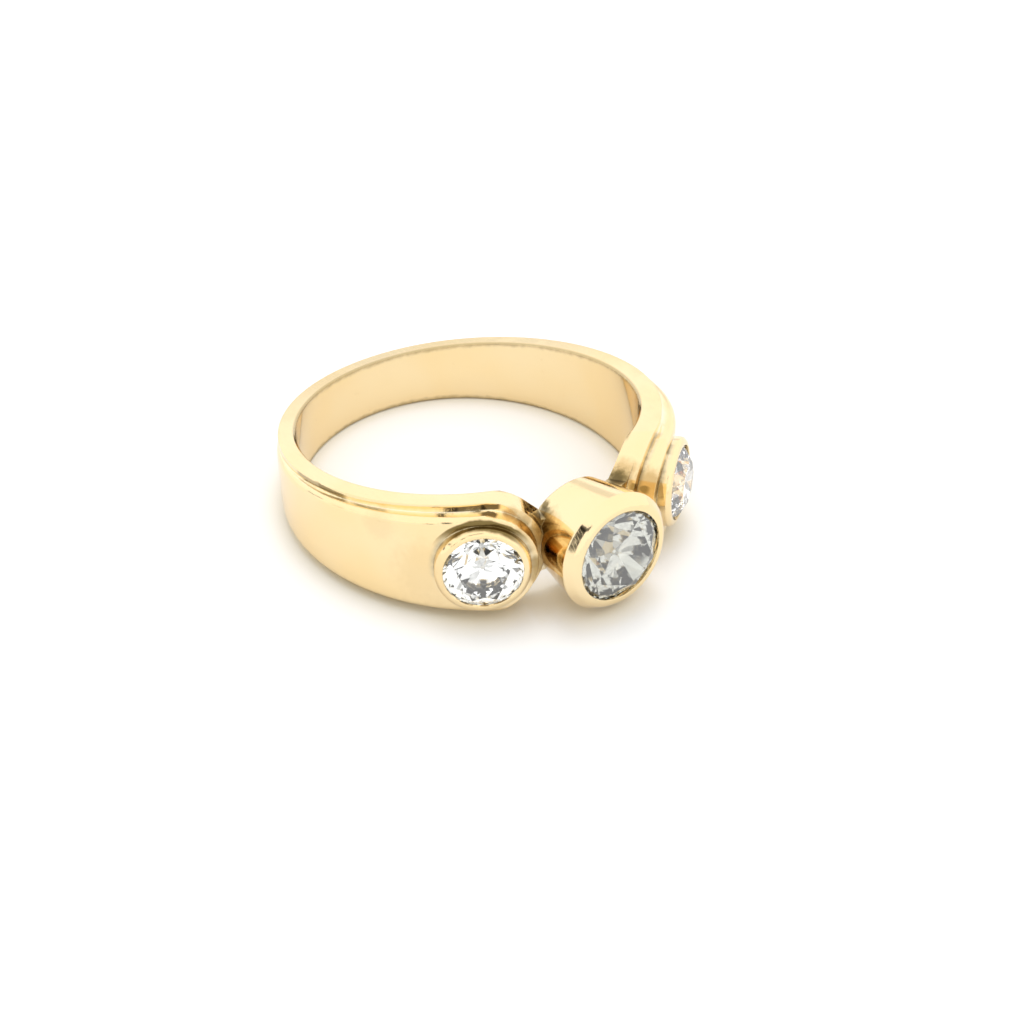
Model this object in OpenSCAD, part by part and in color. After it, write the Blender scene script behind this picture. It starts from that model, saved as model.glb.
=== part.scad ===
// Gold ring with three round stones in plain bezels, lying on its side.
// The ring is built about its finger hole: the hole runs along Z, and the centre stone faces -Y.
// It is then turned so that its lower side face lies flat at Z = 0.

/* [Finger hole] */
// Inner diameter of the ring
bore_d = 17.2; // [15:0.1:22]
// Bevel on the edges of the finger hole
bore_bevel = 0.12; // [0.05:0.01:0.2]

/* [Shank] */
// Width of the shank at the back
back_w = 3.15; // [2.5:0.05:4.2]
// Width of the ring at the front edge of the finger hole
front_w = 6.0; // [5.4:0.05:6.6]
// Thickness of the wall at the back
back_wall = 0.75; // [0.6:0.05:1.2]
// Thickness of the wall at the front, under the raised plate
front_wall = 1.2; // [1:0.05:1.5]

/* [Raised plate] */
// Thickness from the finger hole to the face of the plate, carried on to the front
plate_front = 2.07; // [1.8:0.01:2.3]
// The same thickness carried round to the back, where the plate has sunk into the shank
plate_back = 0.59; // [0.4:0.01:0.7]
// Step between the edge of the shank and the edge of the plate, at the front
step_front = 0.42; // [0.3:0.02:0.6]
// The same step carried round to the back
step_back = 0.25; // [0.15:0.02:0.4]
// Rounding of the long edges of the plate
plate_round = 0.3; // [0.1:0.05:0.4]

/* [Shoulder ends] */
// Metal left round the side bezel where the plate ends
plate_rim = 0.36; // [0.25:0.01:0.5]
// Metal left round the end of the plate where the shank ends
shank_rim = 0.4; // [0.3:0.01:0.6]
// Width of the low neck that joins a shoulder to the centre bezel
neck_w = 2.8; // [2.2:0.1:3.4]
// Extra width on each side of the neck where it runs into the shoulder
neck_flare = 0.65; // [0.4:0.05:0.8]
// Thickness of the neck outside the finger hole
neck_wall = 0.85; // [0.6:0.05:1.1]

/* [Side stones] */
// Angle from the centre stone to the left stone
left_angle = 31.8; // [30:0.1:36]
// Angle from the centre stone to the right stone, which sits a little further round
right_angle = 35.5; // [32:0.1:38]
// Diameter of a side stone
side_d = 4.0; // [3.4:0.05:4.4]
// Height of the side bezel's lip above the finger hole
side_lip_h = 2.42; // [2.3:0.02:3]
// Wall of the side bezel outside its stone
side_wall = 0.24; // [0.18:0.01:0.35]
// Overlap of the lip on the side stone
side_lip = 0.13; // [0.08:0.01:0.2]
// Width of the polished bevel round a side bezel's lip
side_bevel = 0.06; // [0.02:0.01:0.1]

/* [Centre stone] */
// Diameter of the centre stone
centre_d = 4.9; // [4.2:0.05:5.4]
// Height of the centre bezel's lip above the finger hole
centre_lip_h = 3.56; // [3.2:0.02:4.2]
// Wall of the centre bezel outside its stone
centre_wall = 0.54; // [0.35:0.01:0.7]
// Overlap of the lip on the centre stone
centre_lip = 0.15; // [0.1:0.01:0.25]
// Width of the polished bevel round the centre bezel's lip
centre_bevel = 0.36; // [0.1:0.02:0.42]
// Radius of the centre bezel where it meets the finger hole
centre_foot_r = 2.42; // [2.2:0.01:2.8]

/* [Stone cut] */
// Slope of the main crown facets
crown_angle = 37; // [30:0.5:40]
// Slope of the main pavilion facets
pavilion_angle = 41; // [39:0.5:42]
// Width of the table as a share of the stone's diameter
table_share = 0.55; // [0.5:0.01:0.62]
// Thickness of the girdle
girdle_t = 0.08; // [0.05:0.01:0.12]
// Width of the culet facet
culet_w = 0.2; // [0.1:0.02:0.4]
// Reach of the star facets from the table's edge towards the girdle, as a share
star_share = 0.5; // [0.4:0.01:0.6]
// Reach of the lower halves from the girdle towards the culet, as a share
lower_share = 0.77; // [0.6:0.01:0.85]

/* [Setting] */
// Clearance between a stone and its seat
seat_gap = 0.04; // [0.03:0.01:0.08]
// Depth of the lip's inner edge above the stone
lip_edge = 0.14; // [0.1:0.01:0.2]
// Slope of the bevel round a lip
bevel_angle = 54; // [40:1:65]
// Rounding between a bezel's wall and its bevel
bevel_round = 0.1; // [0.05:0.01:0.14]
// Metal between a stone's girdle and the open back of its seat
ledge = 0.6; // [0.4:0.05:0.8]

/* [Hidden] */

$fn = 96;
gold_colour = "#e9c167";
stone_colour = "#e6edf0";

// Finger hole, and the edges of shank and plate, which run straight from front to back
bore_r = bore_d / 2;
shank_mid = (front_w + back_w) / 4;
shank_slope = (front_w - back_w) / (2 * bore_d);
plate_mid = shank_mid - (step_front + step_back) / 2;
plate_slope = shank_slope - (step_front - step_back) / bore_d;
rest_tilt = atan(shank_slope);

// Angles of the two shoulders and their stones, measured from the centre stone
shoulders = [-left_angle, right_angle];
function outward(angle) = [sin(angle), -cos(angle)];

// A round face set forward on the finger hole: its radius and how far forward its centre lies
function face_r(front, back) = bore_r + (front + back) / 2;
function face_shift(front, back) = (front - back) / 2;
plate_r = face_r(plate_front, plate_back);
plate_shift = face_shift(plate_front, plate_back);

// Stones and bezels, by radius and by height along the stone's axis from the middle of the ring
side_r = side_d / 2;
centre_r = centre_d / 2;
side_open_r = side_r - side_lip;
centre_open_r = centre_r - centre_lip;
side_rim_r = side_r + side_wall;
centre_rim_r = centre_r + centre_wall;
side_top = bore_r + side_lip_h;
centre_top = bore_r + centre_lip_h;
plate_end_r = side_rim_r + plate_rim;
shank_end_r = plate_end_r + shank_rim;

// Length past every surface, and a short distance clear of one, for cuts and outlines
reach = 2 * centre_top;
clear = lip_edge;

// Depth inside the finger hole's wall at which bezels and seats begin
inner_r = bore_r / 2;
// Flat ring between the rounding of a lip and its opening
lip_flat = 0.05;

// Height of a girdle's upper edge under a lip that ends at height top
function girdle_h(top, lip) = top - lip_edge - lip * tan(crown_angle) - seat_gap / cos(crown_angle);
// Height of a table above its girdle
function table_h(r) = r * (1 - table_share) * tan(crown_angle);

side_girdle = girdle_h(side_top, side_lip);
centre_girdle = girdle_h(centre_top, centre_lip);

// Ends of the ring from front to back as it lies, which put its middle over the origin
back_y = bore_r + back_wall;
back_end = back_y * cos(rest_tilt) + (shank_mid - shank_slope * back_y) * sin(rest_tilt);
front_end = (centre_girdle + table_h(centre_r)) * cos(rest_tilt) + centre_r * table_share * sin(rest_tilt);

// Turns the ring from its finger hole's frame to the way it lies
module lying() {
    translate([0, (front_end - back_end) / 2, shank_mid * cos(rest_tilt)])
        rotate([-rest_tilt, 0, 0]) children();
}

// Puts a piece whose axis is Z on a radius of the ring, at an angle from the front
module at_angle(angle) {
    rotate([0, 0, angle]) rotate([90, 0, 0]) children();
}

// Solid between two edges that close in evenly from front to back
module tapered(mid, slope) {
    rotate([90, 0, 90]) linear_extrude(2 * reach, center = true)
        polygon([
            [-reach, -mid - slope * reach], [reach, -mid + slope * reach],
            [reach, mid - slope * reach], [-reach, mid + slope * reach]
        ]);
}

// Upright round solid, set forward on the finger hole
module drum(front, back) {
    translate([0, -face_shift(front, back), 0])
        cylinder(r = face_r(front, back), h = 2 * reach, center = true);
}

// Space in front of the side stones, less a round end about each stone's axis
module front_gap(end_r) {
    difference() {
        linear_extrude(2 * reach, center = true)
            polygon([
                [0, 0], reach * outward(shoulders[0]), [0, -2 * reach], reach * outward(shoulders[1])
            ]);
        for (angle = shoulders)
            at_angle(angle) cylinder(r = end_r, h = 2 * reach);
    }
}

// Shank that widens towards the front and stops in two round ends
module shank() {
    difference() {
        intersection() {
            drum(front_wall, back_wall);
            tapered(shank_mid, shank_slope);
        }
        front_gap(shank_end_r);
    }
}

// Ring that rounds the long edges of the plate in five bevels
module edge_cutter() {
    steps = 5;
    turn = 90 / steps;
    function on_round(i) = [
        plate_r - plate_round * (1 - sin(i * turn)), -plate_round * (1 - cos(i * turn))
    ];
    first = on_round(0) - plate_round * [cos(turn / 2), -sin(turn / 2)];
    last = on_round(steps) + plate_round * [sin(turn / 2), -cos(turn / 2)];
    rotate_extrude() polygon(concat(
        [first], [for (i = [0:steps]) on_round(i)], [last],
        [[plate_r + clear, last[1]], [plate_r + clear, clear], [first[0], clear]]
    ));
}

// Raised plate on each shoulder, which sinks into the shank towards the back
module shoulder_plate() {
    difference() {
        intersection() {
            drum(plate_front, plate_back);
            tapered(plate_mid, plate_slope);
        }
        front_gap(plate_end_r);
        for (turn = [0, 180])
            rotate([0, turn, 0])
                translate([0, -plate_shift, plate_mid + plate_slope * plate_shift])
                    rotate([-atan(plate_slope), 0, 0]) edge_cutter();
    }
}

// Outline of a neck seen along a side stone's axis: a band that widens where it meets the shoulder
module neck_outline() {
    half = neck_w / 2;
    wide = half + neck_flare;
    meet = sqrt(shank_end_r * shank_end_r - wide * wide);
    edge = [[reach, half], [meet + neck_flare, half], [meet, wide]];
    polygon(concat(
        edge,
        [for (i = [2:-1:0]) [-edge[i][0], edge[i][1]]],
        [for (i = [0:2]) -edge[i]],
        [for (i = [2:-1:0]) [edge[i][0], -edge[i][1]]]
    ));
}

// Low neck on each side of the centre bezel
module necks() {
    intersection() {
        cylinder(r = bore_r + neck_wall, h = 2 * reach, center = true);
        linear_extrude(2 * reach, center = true)
            polygon([[0, 0], reach * outward(shoulders[0]), reach * outward(shoulders[1])]);
        union() {
            for (angle = shoulders)
                at_angle(angle) linear_extrude(reach) neck_outline();
        }
    }
}

// Points of an arc about a centre, from one angle to another
function arc(centre, radius, from, to, steps) =
    [for (i = [0:steps]) let (turn = from + (to - from) * i / steps)
        centre + radius * [cos(turn), sin(turn)]];

// Bezel body about Z: a wall that leans from foot_r at the finger hole out to rim_r,
// then a rounded corner, a bevel, and a lip that rounds over to its opening
module bezel(foot_r, rim_r, open_r, top, bevel_w) {
    corner_steps = 4;
    lip_steps = 6;
    turn = 90 - bevel_angle;
    lip_w = rim_r - open_r - lip_flat - bevel_w * sin(turn);
    lip_r = (lip_w - bevel_round * (1 - cos(turn))) / cos(turn);
    lip_centre = [open_r + lip_flat, top - lip_r];
    corner_centre = lip_centre + (lip_r - bevel_round) * [cos(turn), sin(turn)]
        + bevel_w * [sin(turn), -cos(turn)];
    to_corner = corner_centre - [foot_r, bore_r];
    lean = 90 - atan2(to_corner[1], to_corner[0]) + asin(bevel_round / norm(to_corner));
    rotate_extrude() polygon(concat(
        [[0, inner_r], [foot_r - (bore_r - inner_r) * tan(lean), inner_r]],
        arc(corner_centre, bevel_round, -lean, turn, corner_steps),
        arc(lip_centre, lip_r, turn, 90, lip_steps),
        [[0, top]]
    ));
}

// Space for a stone about Z, from the lip's opening to the open back
module seat(stone_r, open_r, top, girdle) {
    under_lip = top - lip_edge;
    hole_r = stone_r + seat_gap;
    back_r = stone_r - ledge;
    function seat_at(r) = girdle - girdle_t - (stone_r - r) * tan(pavilion_angle)
        - seat_gap / cos(pavilion_angle);
    rotate_extrude() polygon([
        [0, top + clear], [open_r, top + clear], [open_r, under_lip],
        [hole_r, under_lip - (hole_r - open_r) * tan(crown_angle)],
        [hole_r, seat_at(hole_r)], [back_r, seat_at(back_r)],
        [back_r, inner_r - clear], [0, inner_r - clear]
    ]);
}

// Finger hole with a bevel along each edge
module finger_hole() {
    cone_r = bore_r + bore_bevel;
    depth = 2 * bore_bevel;
    cylinder(r = bore_r, h = 2 * reach, center = true);
    for (turn = [0, 180])
        rotate([0, turn, 0])
            translate([0, 0, shank_mid]) rotate([-rest_tilt, 0, 0])
                translate([0, 0, -depth])
                    cylinder(r1 = cone_r - depth, r2 = cone_r + depth, h = 2 * depth);
}

// The whole mount, with its seats and finger hole cut through
module ring_mount() {
    color(gold_colour) lying() difference() {
        union() {
            shank();
            shoulder_plate();
            necks();
            for (angle = shoulders)
                at_angle(angle) bezel(side_rim_r, side_rim_r, side_open_r, side_top, side_bevel);
            at_angle(0) bezel(centre_foot_r, centre_rim_r, centre_open_r, centre_top, centre_bevel);
        }
        finger_hole();
        for (angle = shoulders)
            at_angle(angle) seat(side_r, side_open_r, side_top, side_girdle);
        at_angle(0) seat(centre_r, centre_open_r, centre_top, centre_girdle);
    }
}

// Points evenly spaced on a circle at height z
function round_points(count, r, z, start) =
    [for (i = [0:count - 1]) [r * cos(start + i * 360 / count), r * sin(start + i * 360 / count), z]];

// Round cut stone about Z, with its girdle's upper edge at Z = 0 and its table up: eight main facets
// above and below, eight stars, sixteen smaller facets on each side of the girdle, and a culet
module cut_stone(r) {
    mains = 8;
    half = 180 / mains;
    table_r = r * table_share;
    table_edge = table_r * cos(half);
    star_r = table_edge + star_share * (r - table_edge);
    low_r = (1 - lower_share) * r;
    culet_r = culet_w / 2;
    below = -girdle_t - r * tan(pavilion_angle);
    points = concat(
        round_points(mains, table_r, table_h(r), 0),
        round_points(mains, star_r, (r - star_r * cos(half)) * tan(crown_angle), half),
        round_points(2 * mains, r, 0, 0),
        round_points(2 * mains, r, -girdle_t, 0),
        round_points(mains, low_r, below + low_r * cos(half) * tan(pavilion_angle), half),
        round_points(mains, culet_r / cos(half), below + culet_r * tan(pavilion_angle), half)
    );
    // Places of a table, star, upper girdle, lower girdle, lower half and culet point in that list
    function t(i) = (i + mains) % mains;
    function s(i) = mains + (i + mains) % mains;
    function g(i) = 2 * mains + (i + 2 * mains) % (2 * mains);
    function h(i) = 4 * mains + (i + 2 * mains) % (2 * mains);
    function l(i) = 6 * mains + (i + mains) % mains;
    function k(i) = 7 * mains + (i + mains) % mains;
    each_main = [0:mains - 1];
    polyhedron(points, concat(
        [[for (i = each_main) t(-i)]],
        [for (i = each_main) [t(i), t(i + 1), s(i)]],
        [for (i = each_main) [t(i), s(i), g(2 * i), s(i - 1)]],
        [for (i = each_main) [s(i), g(2 * i + 1), g(2 * i)]],
        [for (i = each_main) [s(i), g(2 * i + 2), g(2 * i + 1)]],
        [for (i = [0:2 * mains - 1]) [g(i), g(i + 1), h(i + 1), h(i)]],
        [for (i = each_main) [h(2 * i), h(2 * i + 1), l(i)]],
        [for (i = each_main) [h(2 * i + 1), h(2 * i + 2), l(i)]],
        [for (i = each_main) [h(2 * i), l(i), k(i), k(i - 1), l(i - 1)]],
        [[for (i = each_main) k(i)]]
    ));
}

module centre_stone() {
    color(stone_colour) lying() at_angle(0) translate([0, 0, centre_girdle]) cut_stone(centre_r);
}

module side_stone(angle) {
    color(stone_colour) lying() at_angle(angle) translate([0, 0, side_girdle]) cut_stone(side_r);
}

ring_mount();
centre_stone();
side_stone(shoulders[0]);  // side_stone_left
side_stone(shoulders[1]);  // side_stone_right
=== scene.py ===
"""Dresses the three stone ring: polished gold, the diamonds, and the pale studio round them."""
import math

import bpy
from bpy.props import FloatProperty, FloatVectorProperty, PointerProperty
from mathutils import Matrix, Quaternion, Vector


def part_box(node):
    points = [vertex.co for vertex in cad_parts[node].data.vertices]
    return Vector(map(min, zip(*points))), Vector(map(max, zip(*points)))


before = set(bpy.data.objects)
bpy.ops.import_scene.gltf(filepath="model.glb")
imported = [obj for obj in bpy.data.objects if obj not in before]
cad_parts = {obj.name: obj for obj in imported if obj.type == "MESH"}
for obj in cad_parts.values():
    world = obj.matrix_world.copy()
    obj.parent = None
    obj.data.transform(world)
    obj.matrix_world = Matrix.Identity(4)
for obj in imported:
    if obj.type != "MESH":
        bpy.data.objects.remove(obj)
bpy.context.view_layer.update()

bl_info = {
    "name": "Three stone ring finish",
    "version": (1, 0, 0),
    "blender": (4, 5, 0),
    "location": "3D View > Sidebar > Ring",
    "description": "Finishes the gold and the stones of a ring and lays out its pale studio",
    "category": "Object",
}

MM = 0.001
PER_MM = 1000.0
# Dark shapes that the gold mirrors: azimuth, elevation, half width, half height, lean, darkness
DARK_PATCHES = (
    (-44.5, 42.6, 11.5, 4.0, 0.0, 0.85),
    (-58.9, 24.0, 2.1, 21.5, 15.0, 0.93),
    (-133.5, 11.2, 16.5, 3.2, 0.0, 0.92),
    (-104.0, 23.4, 13.0, 2.2, 0.0, 0.65),
    (149.0, 11.3, 26.0, 4.6, 0.0, 0.25),
)
# Spots of thin warm painted shade, partly amber film: place and reach in mm, cover
AMBER_SHADE_SPOTS = (
    (-2.45, -7.75, 3.9, 1.5, 0.75),
    (-2.75, -8.3, 2.6, 1.4, 0.75),
    (3.15, -6.80, 4.7, 0.80, 0.55),
    (3.85, -7.50, 4.1, 1.20, 0.70),
    (-3.60, -7.65, 4.8, 0.90, 0.55),
    (-7.60, -5.55, 2.6, 2.2, 0.14),
    (-3.90, -7.08, 5.2, 0.55, 0.55),
    (-3.30, -7.38, 4.8, 0.55, 0.60),
)
# Spots of thick painted brown shade, partly grime: place and reach in mm, cover
BROWN_SHADE_SPOTS = (
    (-2.30, -7.50, 4.2, 0.90, 0.60),
    (-2.00, -7.30, 4.60, 0.50, 0.65),
    (-1.74, -6.84, 4.70, 0.40, 0.85),
    (2.66, -6.84, 4.42, 0.80, 0.90),
    (-8.75, -3.55, 4.50, 1.10, 0.09),
    (-3.35, -8.39, 3.05, 0.60, 0.55),
    (-3.50, -8.40, 2.55, 0.50, 0.40),
    (-2.60, -7.80, 2.30, 0.65, 0.45),
)
# Spots of near black painted shade at the bottom of the hollows, partly soot: place and reach
# in mm, cover
SOOT_AND_SHADE_SPOTS = (
    (-1.95, -7.00, 4.55, 0.45, 0.70),
    (2.64, -6.78, 4.41, 0.50, 0.55),
)
# Recesses whose corners get painted brown shade, partly the brown that polishing leaves: place
# and reach in mm, cover
SHADED_RECESSES = (
    (4.10, -7.50, 4.0, 2.2, 0.80),
    (-3.20, -7.80, 4.0, 2.2, 0.75),
    (-7.30, -5.80, 3.4, 2.0, 0.65),
    (5.20, -6.45, 5.4, 1.0, 0.60),
    (5.60, -6.85, 5.5, 1.0, 0.75),
)
# Painted black streak under the rim, a painted dark reflection: middle and direction, then its
# reach and half length in mm, cover
DARK_REFLECTION_STREAK = ((-4.75, -6.64, 5.72), (0.87, -0.49, -0.03), 0.16, 0.56, 0.90)
# Streaks of painted brown shade, partly tarnish, in the grooves of the left side and of the
# right shoulder, in the same order
SHADED_GROOVES = (
    ((-9.53, 1.35, 4.51), (0.035, -0.986, 0.162), 0.12, 1.2, 0.60),
    ((-9.33, -0.35, 4.75), (0.201, -0.975, 0.098), 0.14, 1.2, 0.85),
    ((3.42, -7.55, 4.02), (0.80, -0.50, -0.33), 0.22, 0.62, 0.75),
    ((4.37, -8.02, 3.83), (0.06, 0.33, 0.94), 0.17, 0.62, 0.65),
)
# The finger hole in mm: its middle, its radius and the lean of its axis
HOLE_MIDDLE = (0.0, 1.656, 2.28)
HOLE_R = 8.6
HOLE_LEAN = math.radians(4.736)
# The band: half its width in mm beside the hole's middle, and how much it grows per mm forward
HALF_WIDTH = 2.2875
WIDTH_TAPER = 0.0828
# Distances from a side bezel's axis in mm: its foot and the end of the painted shade round it
FOOT_R = 2.24
FOOT_SHADE_R = 2.53
# Where the painted shade and painted reflection of the band's edges start and are full, in mm:
# in from the hole's rims, out from its wall, up from the lower edge, on the outer face, and
# past the left bezel's foot
RIM_SHADE = (0.32, 0.06)
WALL_SHADE = (0.16, 0.04)
LOW_SHADE = (0.85, 0.35)
OUTER_FACE = (0.3, 0.6)
OFF_FOOT = (0.0, 0.3)
# Distances past the end of the foot's painted shade in mm, beyond which the bezel's line
# carries none
FOOT_SHADE_END = (0.4, 0.2)
# Levels of the noise between which the gold's redder tone drifts in
DRIFT_LEVELS = (0.35, 0.70)
# Share of open sky at which the corner mask, for the painted corner shade and the paler corner
# tone, starts, and at which it is full
CORNER_SKY = (0.90, 0.60)
# Turn and stretch of the two sets of fine scratches, and the noise levels of their sides
SCRATCHES = (((0.0, 0.3, 0.5), 26.0), ((0.9, 1.2, 0.2), 31.0))
SCRATCH_LEVELS = (0.62, 0.70)
# Scale of the scratches along their length
SCRATCH_LENGTH_SCALE = 0.7
# Cells per mm of the pits' pattern, and the distances in cells between which a pit's slope lies
PITS_PER_MM = 1.6
PIT_SLOPE = (0.035, 0.055)
# Tone of the faint clouds in a stone and on the floor, as a share of the clean tone
STONE_SHADE = 0.97
FLOOR_SHADE = 0.985
# Share of open sky at which the floor's painted contact shadow starts, and at which it is full
CONTACT_SHADOW_SKY = (0.80, 0.20)
# Shape of a dark patch: the power that squares its corners, and the sums between which it fades
PATCH_POWER = 4.0
PATCH_EDGE = (1.25, 0.75)
# Scales per mm of the coarse and of the fine unevenness that frays the films
COARSE, FINE = 2.6, 6.0
# Distances in from a stone's rim in mm at which its frost starts and at which it is full
FROST_START, FROST_FULL = 0.05, 0.01
FLOOR_CORNERS = 24
SENSOR_WIDTH = 36.0
# Spacing of the nodes in the node editor, and how many stand in a row
COLUMN, ROW, PER_ROW = 200, -260, 8


# Names and ranges that several properties share

def colour(name, description, default):
    return FloatVectorProperty(
        name=name, description=description, default=default,
        subtype="COLOR", size=3, min=0.0, max=1.0)


def length(name, description, default_mm):
    return FloatProperty(
        name=name, description=description, default=default_mm * MM,
        subtype="DISTANCE", unit="LENGTH", min=0.0, precision=5)


def angle(name, description, degrees):
    return FloatProperty(
        name=name, description=description, default=math.radians(degrees),
        subtype="ANGLE", unit="ROTATION")


def share(name, description, default):
    return FloatProperty(
        name=name, description=description, default=default,
        subtype="FACTOR", min=0.0, max=1.0)


class RingGold(bpy.types.PropertyGroup):
    """Colours, wear and painted shade of the polished gold."""
    body: colour("Gold", "Colour of the clean polished gold", (1.0, 0.80, 0.48))
    deep: colour("Deep gold", "Redder tone that drifts through the gold", (1.0, 0.775, 0.43))
    pale: colour("Corner gold", "Paler tone of the corners of the steps", (1.0, 0.90, 0.68))
    # Painted warm shade, partly a thin amber film in the worn recesses
    amber_and_warm_shade: colour("Amber", "Thin warm film of the worn recesses", (0.50, 0.30, 0.09))
    # Painted brown shade, partly grime: the colour of the corners, grooves, bezel foot and band
    # edges
    grime_and_shade: colour("Grime", "Brown film that stays in the corners", (0.22, 0.155, 0.055))
    # How far the painted corner shade reaches out of a corner
    corner_shade_reach: length("Grime reach", "How far the film creeps out of a corner", 0.32)
    # Near black: painted dark reflection in the streak under the rim, and painted shade, partly
    # soot, at the bottom of the hollows
    soot_and_dark_shade: colour("Soot", "Near black film at the bottom of the hollows", (0.08, 0.058, 0.026))
    edge_round: length("Edge rounding", "Radius that polishing has left on the edges", 0.06)
    polish: share("Polish roughness", "Roughness of the clean mirror polish", 0.07)
    worn: share("Worn roughness", "Roughness where fingers have dulled the gold", 0.20)
    scratch_depth: length("Scratch depth", "Height of the fine scratches", 0.0005)
    pit_depth: length("Pit depth", "Depth of the tiny casting pits", 0.012)


class RingStones(bpy.types.PropertyGroup):
    """Colours and cut finish of the three diamonds; each stone's tint and clearness paint its
    own shade or light.
    """
    # The tints and clearness paint brightness: the centre stone shaded grey, the left one a
    # little shaded, the right one lit whiter and milkier
    centre_shaded_tint: colour("Centre tint", "Body colour of the large stone", (0.46, 0.465, 0.415))
    left_shaded_tint: colour("Left tint", "Body colour of the left small stone", (0.86, 0.87, 0.845))
    right_lit_tint: colour("Right tint", "Body colour of the right small stone", (1.0, 1.0, 1.0))
    ior: FloatProperty(
        name="Refraction", description="How strongly the stones bend light",
        default=2.417, min=1.0, max=3.0)
    centre_clear: share(
        "Centre clearness", "Share of the light that goes through the large stone", 0.95)
    left_clear: share(
        "Left clearness", "Share of the light that goes through the left small stone", 0.97)
    right_clear: share(
        "Right clearness", "Share of the light that goes through the right small stone", 0.90)
    frost: share("Girdle frost", "Roughness of the ground girdle", 0.35)
    film: share("Handling film", "Roughness that fingers leave on the table", 0.02)


class RingStudio(bpy.types.PropertyGroup):
    """Floor, light and camera of the studio."""
    floor_reach: length("Floor reach", "Half the width of the pale floor", 600.0)
    floor_tone: colour("Floor tone", "Colour of the pale floor", (0.94, 0.94, 0.935))
    # Painted contact shadow: a warm tone, as of light bounced off the gold, laid on the floor
    # where the gold hides the sky
    contact_shadow_tone: colour(
        "Contact tone", "Warm colour of the floor where the gold shades it", (0.82, 0.77, 0.62))
    contact_shadow_reach: length("Contact reach", "How far the warm tone spreads from the gold", 2.0)
    mirror_share: share(
        "Floor in the gold", "Brightness of the floor as the gold mirrors it", 0.88)
    sky: FloatProperty(
        name="Tent light", description="Brightness of the white tent round the ring",
        default=1.2, min=0.0, max=10.0)
    stone_gain: FloatProperty(
        name="Stone light", description="How much brighter the tent is as the stones gather it",
        default=1.7, min=1.0, max=5.0)
    stone_share: share(
        "Dark share in stones", "How strongly the stones pick up the dark shapes", 0.5)
    floor_share: share(
        "Dark share on the floor", "How strongly the dark shapes shade the floor", 0.5)
    lamp_turn: angle("Lamp azimuth", "Direction of the soft lamp above the tent", 150.0)
    lamp_rise: angle("Lamp elevation", "Height of the soft lamp", 76.0)
    lamp_reach: length("Lamp distance", "From the ring to the soft lamp", 300.0)
    lamp_size: length("Lamp size", "Width of the soft lamp", 130.0)
    lamp_glow: FloatProperty(
        name="Lamp glow", description="Brightness of the lamp's face",
        default=3.4, min=0.0, max=50.0)
    azimuth: angle("Camera azimuth", "Direction that the camera looks from", -37.7302)
    elevation: angle("Camera elevation", "Height of the camera above the floor", 36.2442)
    roll: angle("Camera roll", "Turn of the camera about its own axis", 2.0391)
    distance: length("Camera distance", "From the aim point to the camera", 90.0)
    lens: FloatProperty(
        name="Lens", description="Focal length on a 36 mm wide sensor, in millimetres",
        default=62.3566, min=1.0, max=300.0)
    aim: FloatVectorProperty(
        name="Aim", description="Point that the middle of the picture looks at",
        default=(0.74425 * MM, -1.17057 * MM, -0.14890 * MM), subtype="TRANSLATION",
        unit="LENGTH", size=3, precision=5)


# Node trees of the materials and of the tent

class Tree:
    """Adds nodes to one tree and joins them in one line each."""

    def __init__(self, tree):
        self.tree = tree
        self.count = 0

    def add(self, kind, settings=None, **inputs):
        node = self.tree.nodes.new(kind)
        self.count += 1
        node.location = (COLUMN * (self.count % PER_ROW), ROW * (self.count // PER_ROW))
        for key, value in (settings or {}).items():
            setattr(node, key, value)
        for key, value in inputs.items():
            self.put(node.inputs[key.replace("_", " ")], value)
        return node

    def put(self, socket, value):
        if isinstance(value, bpy.types.NodeSocket):
            self.tree.links.new(value, socket)
        elif socket.type == "RGBA":
            socket.default_value = (*value[:3], 1.0)
        else:
            socket.default_value = value

    def maths(self, operation, first, second=0.0):
        node = self.add("ShaderNodeMath", {"operation": operation})
        self.put(node.inputs[0], first)
        self.put(node.inputs[1], second)
        return node.outputs[0]

    def vectors(self, operation, first, second):
        node = self.add("ShaderNodeVectorMath", {"operation": operation})
        self.put(node.inputs[0], first)
        self.put(node.inputs[1], second)
        measured = operation in ("DISTANCE", "DOT_PRODUCT")
        return node.outputs["Value" if measured else "Vector"]

    def blend(self, factor, first, second):
        node = self.add("ShaderNodeMix", {"data_type": "RGBA"})
        self.put(node.inputs["Factor"], factor)
        before, after = (end for end in node.inputs if end.type == "RGBA")
        self.put(before, first)
        self.put(after, second)
        return next(end for end in node.outputs if end.type == "RGBA")

    def ramp(self, value, low, high, to_low=0.0, to_high=1.0, smooth=True):
        kind = "SMOOTHSTEP" if smooth else "LINEAR"
        node = self.add("ShaderNodeMapRange", {"interpolation_type": kind})
        for name, given in (
                ("Value", value), ("From Min", low), ("From Max", high),
                ("To Min", to_low), ("To Max", to_high)):
            self.put(node.inputs[name], given)
        return node.outputs["Result"]

    def noise(self, vector, scale, detail=2.0, roughness=0.5):
        node = self.add(
            "ShaderNodeTexNoise", Vector=vector, Scale=scale, Detail=detail,
            Roughness=roughness)
        return node.outputs["Fac"]

    def bump(self, height, depth, normal):
        node = self.add("ShaderNodeBump", Height=height, Distance=depth, Normal=normal)
        return node.outputs["Normal"]

    def millimetres(self):
        place = self.add("ShaderNodeTexCoord")
        scaled = self.add("ShaderNodeVectorMath", {"operation": "SCALE"})
        self.put(scaled.inputs[0], place.outputs["Object"])
        self.put(scaled.inputs["Scale"], PER_MM)
        return scaled.outputs[0]


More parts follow.
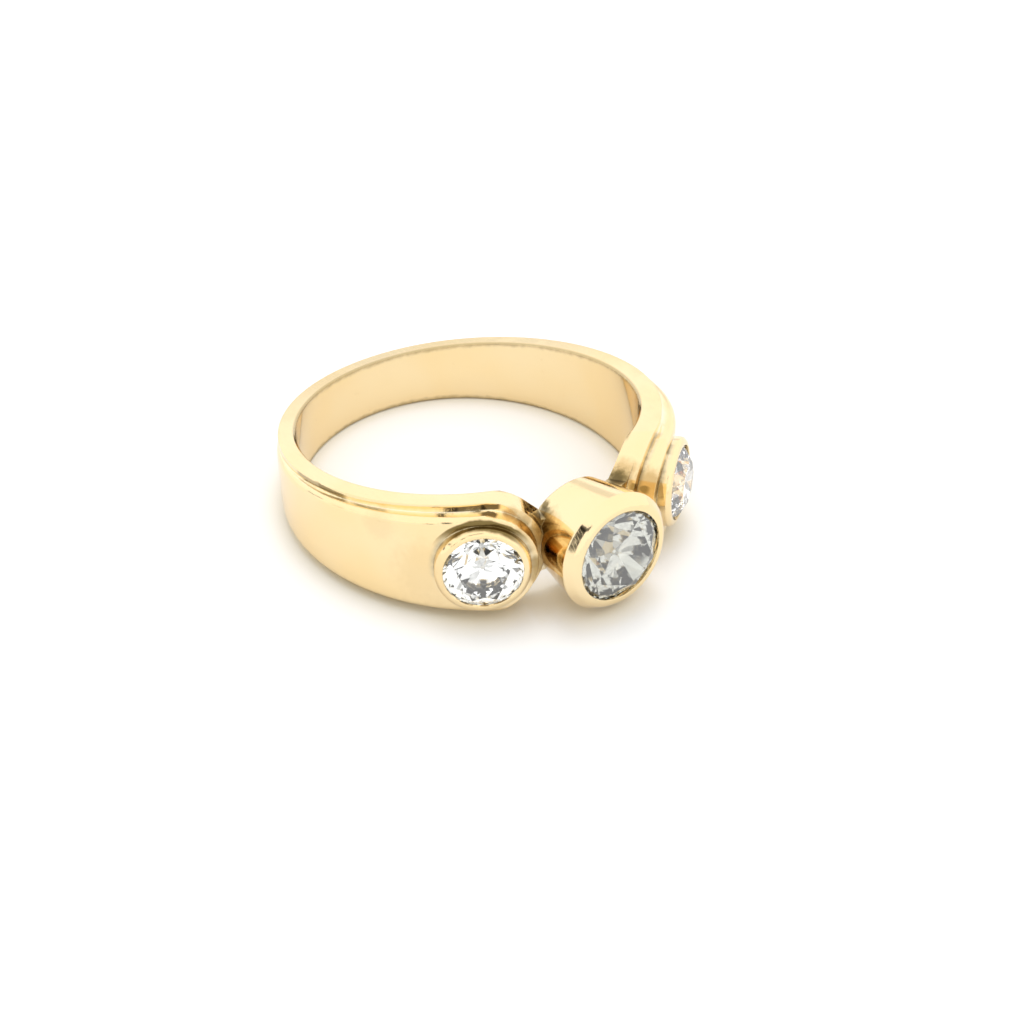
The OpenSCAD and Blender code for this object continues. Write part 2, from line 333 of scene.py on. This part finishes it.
def new_material(name):
    material = bpy.data.materials.new(name)
    material.use_nodes = True
    material.node_tree.nodes.clear()
    tree = Tree(material.node_tree)
    shader = tree.add("ShaderNodeBsdfPrincipled")
    out = tree.add("ShaderNodeOutputMaterial")
    tree.put(out.inputs["Surface"], shader.outputs["BSDF"])
    return material, tree, shader


def dress(node_name, material):
    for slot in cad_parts[node_name].material_slots:
        slot.material = material


def handling_film():
    """Node group: a cloudy mask where fingers have touched the surface."""
    name = "Handling film"
    if name in bpy.data.node_groups:
        return bpy.data.node_groups[name]
    group = bpy.data.node_groups.new(name, "ShaderNodeTree")
    for label, kind, way in (
            ("Place", "NodeSocketVector", "INPUT"), ("Patch size", "NodeSocketFloat", "INPUT"),
            ("Cover", "NodeSocketFloat", "INPUT"), ("Mask", "NodeSocketFloat", "OUTPUT")):
        group.interface.new_socket(label, in_out=way, socket_type=kind)
    tree = Tree(group)
    given = tree.add("NodeGroupInput")
    kept = tree.add("NodeGroupOutput")
    per_patch = tree.maths("DIVIDE", 1.0, given.outputs["Patch size"])
    clouds = tree.noise(given.outputs["Place"], per_patch, detail=5.0, roughness=0.6)
    bare_level, level_per_cover, edge_width = 0.85, 0.6, 0.18
    lowered = tree.maths("MULTIPLY", given.outputs["Cover"], level_per_cover)
    edge = tree.maths("SUBTRACT", bare_level, lowered)
    far = tree.maths("ADD", edge, edge_width)
    tree.put(kept.inputs["Mask"], tree.ramp(clouds, edge, far))
    return group


def film_mask(tree, place, patch_size, cover):
    node = tree.add("ShaderNodeGroup", {"node_tree": handling_film()})
    node.inputs["Patch size"].default_value = patch_size
    node.inputs["Cover"].default_value = cover
    tree.put(node.inputs["Place"], place)
    return node.outputs["Mask"]


def hemmed_in_mask(tree, reach, broken):
    """Mask that is full where the gold is hemmed in within the reach, for painted shade in the
    corners and the paler corner tone.
    """
    fray = 0.3
    open_sky = tree.add(
        "ShaderNodeAmbientOcclusion", {"samples": 4, "only_local": True}, Distance=reach)
    uneven = tree.maths("ADD", open_sky.outputs["AO"], tree.maths("MULTIPLY", broken, fray))
    return tree.ramp(uneven, *CORNER_SKY)


def spots(tree, place, broken, places):
    """Mask that is full at the given places and frays towards the end of their reach."""
    fray, core = 0.7, 0.35
    mask = 0.0
    for x, y, z, reach, cover in places:
        frayed = tree.maths("MULTIPLY", broken, fray * reach)
        uneven = tree.maths("ADD", tree.vectors("DISTANCE", place, (x, y, z)), frayed)
        spot = tree.ramp(uneven, reach, core * reach, 0.0, cover)
        mask = tree.maths("MAXIMUM", mask, spot)
    return mask


def axis_distance():
    """Node group: how far a place is from the line through the middle, along the direction."""
    name = "Axis distance"
    if name in bpy.data.node_groups:
        return bpy.data.node_groups[name]
    group = bpy.data.node_groups.new(name, "ShaderNodeTree")
    for label in ("Place", "Middle", "Direction"):
        group.interface.new_socket(label, in_out="INPUT", socket_type="NodeSocketVector")
    group.interface.new_socket("Distance", in_out="OUTPUT", socket_type="NodeSocketFloat")
    tree = Tree(group)
    given = tree.add("NodeGroupInput").outputs
    kept = tree.add("NodeGroupOutput")
    out_from = tree.vectors("SUBTRACT", given["Place"], given["Middle"])
    along = tree.vectors("PROJECT", out_from, given["Direction"])
    tree.put(kept.inputs["Distance"], tree.vectors("DISTANCE", out_from, along))
    return group


def from_axis(tree, place, middle, outward):
    """Distance of each place from the line through the middle along the outward direction."""
    node = tree.add("ShaderNodeGroup", {"node_tree": axis_distance()})
    node.inputs["Middle"].default_value = middle
    node.inputs["Direction"].default_value = outward
    tree.put(node.inputs["Place"], place)
    return node.outputs["Distance"]


def past(tree, distance, radius, limits):
    """Mask that starts and is full where the distance passes the radius by the two limits."""
    start, full = limits
    return tree.ramp(distance, radius + start, radius + full)


def streak(tree, place, broken, middle, outward, reach, half_length, cover):
    """Mask of a short straight streak along the outward direction."""
    fray, core, full_length = 0.08, 0.75, 0.6
    across = from_axis(tree, place, middle, outward)
    across = tree.maths("ADD", across, tree.maths("MULTIPLY", broken, fray))
    near = tree.vectors("DISTANCE", place, middle)
    inside = tree.ramp(near, half_length, full_length * half_length, 0.0, cover)
    return tree.maths("MULTIPLY", tree.ramp(across, reach, core * reach), inside)


def foot_shade(tree, place, broken):
    """Mask of the painted shade round the foot of the left bezel, mostly on its upper side."""
    fray, inner_edge, outer_edge = 0.12, 0.10, 0.08
    rise_start, rise_full = 0.9, 2.0
    middle, outward, _ = axis_of("side_stone_left")
    radius = from_axis(tree, place, middle, outward)
    uneven = tree.maths("ADD", radius, tree.maths("MULTIPLY", broken, fray))
    past_foot = tree.ramp(uneven, FOOT_R - inner_edge, FOOT_R)
    before_end = tree.ramp(uneven, FOOT_SHADE_R, FOOT_SHADE_R - outer_edge)
    apart = tree.add("ShaderNodeSeparateXYZ", Vector=place)
    upper = tree.ramp(apart.outputs["Z"], middle[2] + rise_start, middle[2] + rise_full)
    # The line through the bezel goes on to the far side of the band, where no painted shade is
    # wanted
    beside = past(tree, tree.vectors("DISTANCE", place, middle), FOOT_SHADE_R, FOOT_SHADE_END)
    ring = tree.maths("MULTIPLY", past_foot, before_end)
    return tree.maths("MULTIPLY", ring, tree.maths("MULTIPLY", upper, beside))


def edge_shade(tree, place, broken):
    """Mask of painted shade along the rims of the finger hole, and of the floor's contact
    shadow painted as a reflection along the lower edge of the band.
    """
    fray, rim_cover, low_cover = 0.25, 0.55, 0.28
    moved = tree.vectors("SUBTRACT", place, HOLE_MIDDLE)
    upright = tree.add("ShaderNodeMapping", Vector=moved, Rotation=(HOLE_LEAN, 0.0, 0.0))
    own = tree.add("ShaderNodeSeparateXYZ", Vector=upright.outputs["Vector"])
    across = tree.add("ShaderNodeCombineXYZ", X=own.outputs["X"], Y=own.outputs["Y"])
    radius = tree.vectors("DISTANCE", across.outputs[0], (0.0, 0.0, 0.0))
    narrower = tree.maths("MULTIPLY", own.outputs["Y"], WIDTH_TAPER)
    half = tree.maths("SUBTRACT", HALF_WIDTH, narrower)
    frayed = tree.maths("MULTIPLY", broken, fray)
    to_rim = tree.maths("SUBTRACT", half, tree.maths("ABSOLUTE", own.outputs["Z"]))
    at_rim = tree.ramp(tree.maths("ADD", to_rim, frayed), *RIM_SHADE, 0.0, rim_cover)
    in_hole = past(tree, radius, HOLE_R, WALL_SHADE)
    to_floor = tree.maths("ADD", half, own.outputs["Z"])
    low = tree.ramp(tree.maths("ADD", to_floor, frayed), *LOW_SHADE, 0.0, low_cover)
    outside = past(tree, radius, HOLE_R, OUTER_FACE)
    middle, outward, _ = axis_of("side_stone_left")
    off_bezel = past(tree, from_axis(tree, place, middle, outward), FOOT_R, OFF_FOOT)
    low = tree.maths("MULTIPLY", tree.maths("MULTIPLY", low, outside), off_bezel)
    return tree.maths("MAXIMUM", tree.maths("MULTIPLY", at_rim, in_hole), low)


def gold_material(look):
    material, tree, shader = new_material("polished_gold")
    place = tree.millimetres()

    drift = tree.ramp(tree.noise(place, 0.22), *DRIFT_LEVELS)
    clean = tree.blend(drift, look.body, look.deep)
    broken = tree.maths("SUBTRACT", tree.noise(place, COARSE, detail=4.0), 0.5)
    fine = tree.maths("SUBTRACT", tree.noise(place, FINE, detail=4.0), 0.5)
    corner = hemmed_in_mask(tree, look.corner_shade_reach, broken)
    # Painted brown shade in the corners of the recesses, partly grime; the spots, grooves,
    # bezel foot and edges below add more painted shade
    film = tree.maths("MULTIPLY", corner, spots(tree, place, broken, SHADED_RECESSES))
    amber_shade = spots(tree, place, broken, AMBER_SHADE_SPOTS)
    film = tree.maths("MAXIMUM", film, spots(tree, place, fine, BROWN_SHADE_SPOTS))
    for groove in SHADED_GROOVES:
        film = tree.maths("MAXIMUM", film, streak(tree, place, fine, *groove))
    film = tree.maths("MAXIMUM", film, foot_shade(tree, place, broken))
    film = tree.maths("MAXIMUM", film, edge_shade(tree, place, broken))
    # Near black painted dark reflection of the streak, and painted shade, partly soot, in the
    # spots
    dark_shade_and_soot = tree.maths(
        "MAXIMUM", streak(tree, place, fine, *DARK_REFLECTION_STREAK), spots(tree, place, fine, SOOT_AND_SHADE_SPOTS))
    # Base colour: clean gold, paler in hemmed-in corners, then painted warm and brown shade,
    # partly amber film and grime, then near black painted shade and dark reflection, partly
    # soot
    paler = tree.blend(corner, clean, look.pale)
    shaded_and_filmed = tree.blend(film, tree.blend(amber_shade, paler, look.amber_and_warm_shade), look.grime_and_shade)
    tree.put(shader.inputs["Base Color"], tree.blend(dark_shade_and_soot, shaded_and_filmed, look.soot_and_dark_shade))

    touched = film_mask(tree, place, patch_size=2.2, cover=0.55)
    dulled = tree.maths("MAXIMUM", touched, tree.maths("MULTIPLY", film, 0.9))
    roughness = tree.ramp(dulled, 0.0, 1.0, look.polish, look.worn, smooth=False)
    tree.put(shader.inputs["Roughness"], roughness)
    shader.inputs["Metallic"].default_value = 1.0

    rounded = tree.add("ShaderNodeBevel", {"samples": 4}, Radius=look.edge_round)
    scratches = 0.0
    for turn, stretch in SCRATCHES:
        turned = tree.add(
            "ShaderNodeMapping", Vector=place, Rotation=turn,
            Scale=(stretch, SCRATCH_LENGTH_SCALE, SCRATCH_LENGTH_SCALE))
        line = tree.noise(turned.outputs["Vector"], 1.0, detail=1.0)
        scratches = tree.maths("MAXIMUM", scratches, tree.ramp(line, *SCRATCH_LEVELS))
    grain = tree.add("ShaderNodeTexVoronoi", {"feature": "F1"}, Vector=place, Scale=PITS_PER_MM)
    pits = tree.ramp(grain.outputs["Distance"], *PIT_SLOPE)
    normal = tree.bump(scratches, -look.scratch_depth, rounded.outputs["Normal"])
    normal = tree.bump(pits, look.pit_depth, normal)
    tree.put(shader.inputs["Normal"], normal)
    return material


def stone_material(name, look, tint, clear, middle, outward, girdle_r):
    """Clear stone whose ground girdle is frosted; middle and outward place its axis in mm."""
    material, tree, shader = new_material(name)
    place = tree.millimetres()
    radius = from_axis(tree, place, middle, outward)
    at_girdle = tree.ramp(radius, girdle_r - FROST_START, girdle_r - FROST_FULL)

    clouds = tree.ramp(tree.noise(place, 0.8, detail=3.0), 0.3, 0.75)
    shade = tuple(STONE_SHADE * value for value in tint)
    tree.put(shader.inputs["Base Color"], tree.blend(clouds, tint, shade))
    touched = film_mask(tree, place, patch_size=0.9, cover=0.4)
    film = tree.maths("MULTIPLY", touched, look.film)
    frost = tree.maths("MULTIPLY", at_girdle, look.frost)
    tree.put(shader.inputs["Roughness"], tree.maths("MAXIMUM", film, frost))
    shader.inputs["Metallic"].default_value = 0.0
    shader.inputs["Transmission Weight"].default_value = clear
    shader.inputs["IOR"].default_value = look.ior
    return material


def axis_of(node_name):
    """Middle of a stone's box in mm, its direction from the ring's middle, its radius in mm."""
    low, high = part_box(node_name)
    middle = (Vector(low) + Vector(high)) / 2 * PER_MM
    ring_low, ring_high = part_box("ring_mount")
    centre = (Vector(ring_low) + Vector(ring_high)) / 2 * PER_MM
    outward = Vector((middle.x, middle.y - centre.y, 0.0)).normalized()
    return tuple(middle), tuple(outward), (high[2] - low[2]) * PER_MM / 2


def toward(turn, rise):
    """Unit vector at an azimuth, counted from -Y towards +X, and a height above the floor."""
    level = math.cos(rise)
    return Vector((math.sin(turn) * level, -math.cos(turn) * level, math.sin(rise)))


class RING_OT_gold(bpy.types.Operator):
    """Give the mount its polished gold"""
    bl_idname = "ring.gold"
    bl_label = "Polish the gold"

    def execute(self, context):
        dress("ring_mount", gold_material(context.scene.ring_gold))
        return {"FINISHED"}


class RING_OT_centre_stone(bpy.types.Operator):
    """Give the large stone its clear finish, with a grey tint that paints shade into it"""
    bl_idname = "ring.centre_stone"
    bl_label = "Finish the centre stone"

    def execute(self, context):
        look = context.scene.ring_stones
        dress("centre_stone", stone_material(
            "centre_diamond", look, tuple(look.centre_shaded_tint), look.centre_clear,
            *axis_of("centre_stone")))
        return {"FINISHED"}


class RING_OT_side_stones(bpy.types.Operator):
    """Give the two small stones their clear finish, with tints and clearness that paint the
    left one shaded and the right one lit whiter
    """
    bl_idname = "ring.side_stones"
    bl_label = "Finish the side stones"

    def execute(self, context):
        look = context.scene.ring_stones
        for name, tint, clear in (
                ("side_stone_left", look.left_shaded_tint, look.left_clear),
                ("side_stone_right", look.right_lit_tint, look.right_clear)):
            dress(name, stone_material(
                name.replace("stone", "diamond"), look, tuple(tint), clear, *axis_of(name)))
        return {"FINISHED"}


class RING_OT_studio(bpy.types.Operator):
    """Lay the pale floor, the tent light and the camera"""
    bl_idname = "ring.studio"
    bl_label = "Set up the studio"

    def execute(self, context):
        studio = context.scene.ring_studio
        self.lay_floor(studio)
        self.light(context.scene, studio)
        self.place_camera(context.scene, studio)
        return {"FINISHED"}

    def lay_floor(self, studio):
        reach = studio.floor_reach
        turns = [2 * math.pi * i / FLOOR_CORNERS for i in range(FLOOR_CORNERS)]
        rim = [(reach * math.cos(turn), reach * math.sin(turn), 0) for turn in turns]
        mesh = bpy.data.meshes.new("floor")
        mesh.from_pydata(rim, [], [tuple(range(FLOOR_CORNERS))])
        floor = bpy.data.objects.new("floor", mesh)
        bpy.context.scene.collection.objects.link(floor)
        material, tree, shader = new_material("pale_floor")
        paper = tree.ramp(tree.noise(tree.millimetres(), 0.05, detail=3.0), 0.3, 0.7)
        darker = tuple(FLOOR_SHADE * value for value in studio.floor_tone)
        clean = tree.blend(paper, tuple(studio.floor_tone), darker)
        # Painted contact shadow: the floor turns to the contact tone where the gold hides the
        # sky within the reach
        open_sky = tree.add(
            "ShaderNodeAmbientOcclusion", {"samples": 4}, Distance=studio.contact_shadow_reach)
        touched = tree.ramp(open_sky.outputs["AO"], *CONTACT_SHADOW_SKY)
        seen = tree.blend(touched, clean, studio.contact_shadow_tone)
        shown = tree.add("ShaderNodeLightPath").outputs["Is Camera Ray"]
        mirrored = tuple(studio.mirror_share * value for value in studio.floor_tone)
        tree.put(shader.inputs["Base Color"], tree.blend(shown, mirrored, seen))
        shader.inputs["Roughness"].default_value = 0.8
        shader.inputs["Specular IOR Level"].default_value = 0.2
        mesh.materials.append(material)

    def light(self, scene, studio):
        world = bpy.data.worlds.new("white_tent")
        world.use_nodes = True
        world.node_tree.nodes.clear()
        tree = Tree(world.node_tree)
        back = tree.add("ShaderNodeBackground")
        out = tree.add("ShaderNodeOutputWorld")
        tree.put(out.inputs["Surface"], back.outputs["Background"])
        looking = tree.add("ShaderNodeTexCoord").outputs["Generated"]
        light = 1.0
        for patch in DARK_PATCHES:
            light = self.dark_patch(tree, looking, light, *patch)
        path = tree.add("ShaderNodeLightPath")
        seen = tree.maths(
            "MAXIMUM", path.outputs["Is Glossy Ray"],
            tree.maths("MULTIPLY", path.outputs["Is Transmission Ray"], studio.stone_share))
        seen = tree.maths(
            "MAXIMUM", seen,
            tree.maths("MULTIPLY", path.outputs["Is Diffuse Ray"], studio.floor_share))
        light = tree.ramp(seen, 0.0, 1.0, 1.0, light, smooth=False)
        gathered = tree.ramp(
            path.outputs["Is Transmission Ray"], 0.0, 1.0, studio.sky,
            studio.sky * studio.stone_gain, smooth=False)
        tree.put(back.inputs["Strength"], tree.maths("MULTIPLY", light, gathered))
        back.inputs["Color"].default_value = (1.0, 1.0, 1.0, 1.0)
        scene.world = world
        self.hang_lamp(scene, studio)
        scene.view_settings.view_transform = "Standard"

    def hang_lamp(self, scene, studio):
        data = bpy.data.lights.new("soft_lamp", "AREA")
        data.shape = "DISK"
        data.size = studio.lamp_size
        data.energy = studio.lamp_glow * math.pi ** 2 * (studio.lamp_size / 2) ** 2
        lamp = bpy.data.objects.new("soft_lamp", data)
        scene.collection.objects.link(lamp)
        lamp.visible_glossy = False
        out = toward(studio.lamp_turn, studio.lamp_rise)
        lamp.location = out * studio.lamp_reach
        lamp.rotation_mode = "QUATERNION"
        lamp.rotation_quaternion = out.to_track_quat("Z", "Y")

    def dark_patch(self, tree, looking, light, turn, rise, width, height, lean, dark):
        """Dims a rounded patch of the tent round one direction, with a soft edge."""
        turn, rise, width, height, lean = (
            math.radians(a) for a in (turn, rise, width, height, lean))
        out = toward(turn, rise)
        level = Vector((math.cos(turn), math.sin(turn), 0.0))
        upward = level.cross(-out)
        side = math.cos(lean) * level - math.sin(lean) * upward
        above = math.cos(lean) * upward + math.sin(lean) * level
        parts = []
        for axis, reach in ((side, width), (above, height)):
            part = tree.vectors("DOT_PRODUCT", looking, tuple(axis / math.sin(reach)))
            parts.append(tree.maths("POWER", tree.maths("ABSOLUTE", part), PATCH_POWER))
        near_side = tree.ramp(tree.vectors("DOT_PRODUCT", looking, tuple(out)), 0.0, 0.05)
        rounded = tree.ramp(tree.maths("ADD", *parts), *PATCH_EDGE)
        shade = tree.maths("MULTIPLY", tree.maths("MULTIPLY", rounded, near_side), dark)
        return tree.maths("MULTIPLY", light, tree.maths("SUBTRACT", 1.0, shade))

    def place_camera(self, scene, studio):
        data = bpy.data.cameras.new("camera")
        camera = bpy.data.objects.new("camera", data)
        scene.collection.objects.link(camera)
        scene.camera = camera
        data.sensor_width = SENSOR_WIDTH
        data.lens = studio.lens
        data.clip_start, data.clip_end = 1 * MM, 2000 * MM
        back = toward(studio.azimuth, studio.elevation)
        camera.location = Vector(studio.aim) + back * studio.distance
        camera.rotation_mode = "QUATERNION"
        level = (-back).to_track_quat("-Z", "Y")
        camera.rotation_quaternion = Quaternion(back, studio.roll) @ level


class RING_PT_sidebar(bpy.types.Panel):
    """Lists the ring's finish steps and their sizes"""
    bl_idname = "RING_PT_sidebar"
    bl_label = "Three stone ring"
    bl_space_type = "VIEW_3D"
    bl_region_type = "UI"
    bl_category = "Ring"

    def draw(self, context):
        for operator in OPERATORS:
            self.layout.operator(operator.bl_idname)
        for name in GROUPS:
            settings = getattr(context.scene, name)
            for key in settings.__annotations__:
                self.layout.prop(settings, key)


GROUPS = {"ring_gold": RingGold, "ring_stones": RingStones, "ring_studio": RingStudio}
OPERATORS = (RING_OT_gold, RING_OT_centre_stone, RING_OT_side_stones, RING_OT_studio)


def register():
    for kind in (*GROUPS.values(), *OPERATORS, RING_PT_sidebar):
        bpy.utils.register_class(kind)
    for name, kind in GROUPS.items():
        setattr(bpy.types.Scene, name, PointerProperty(type=kind))


def unregister():
    for name in GROUPS:
        delattr(bpy.types.Scene, name)
    for kind in (RING_PT_sidebar, *OPERATORS, *GROUPS.values()):
        bpy.utils.unregister_class(kind)


def main():
    register()
    bpy.ops.ring.gold()
    bpy.ops.ring.centre_stone()
    bpy.ops.ring.side_stones()
    bpy.ops.ring.studio()


if __name__ == "__main__":
    main()
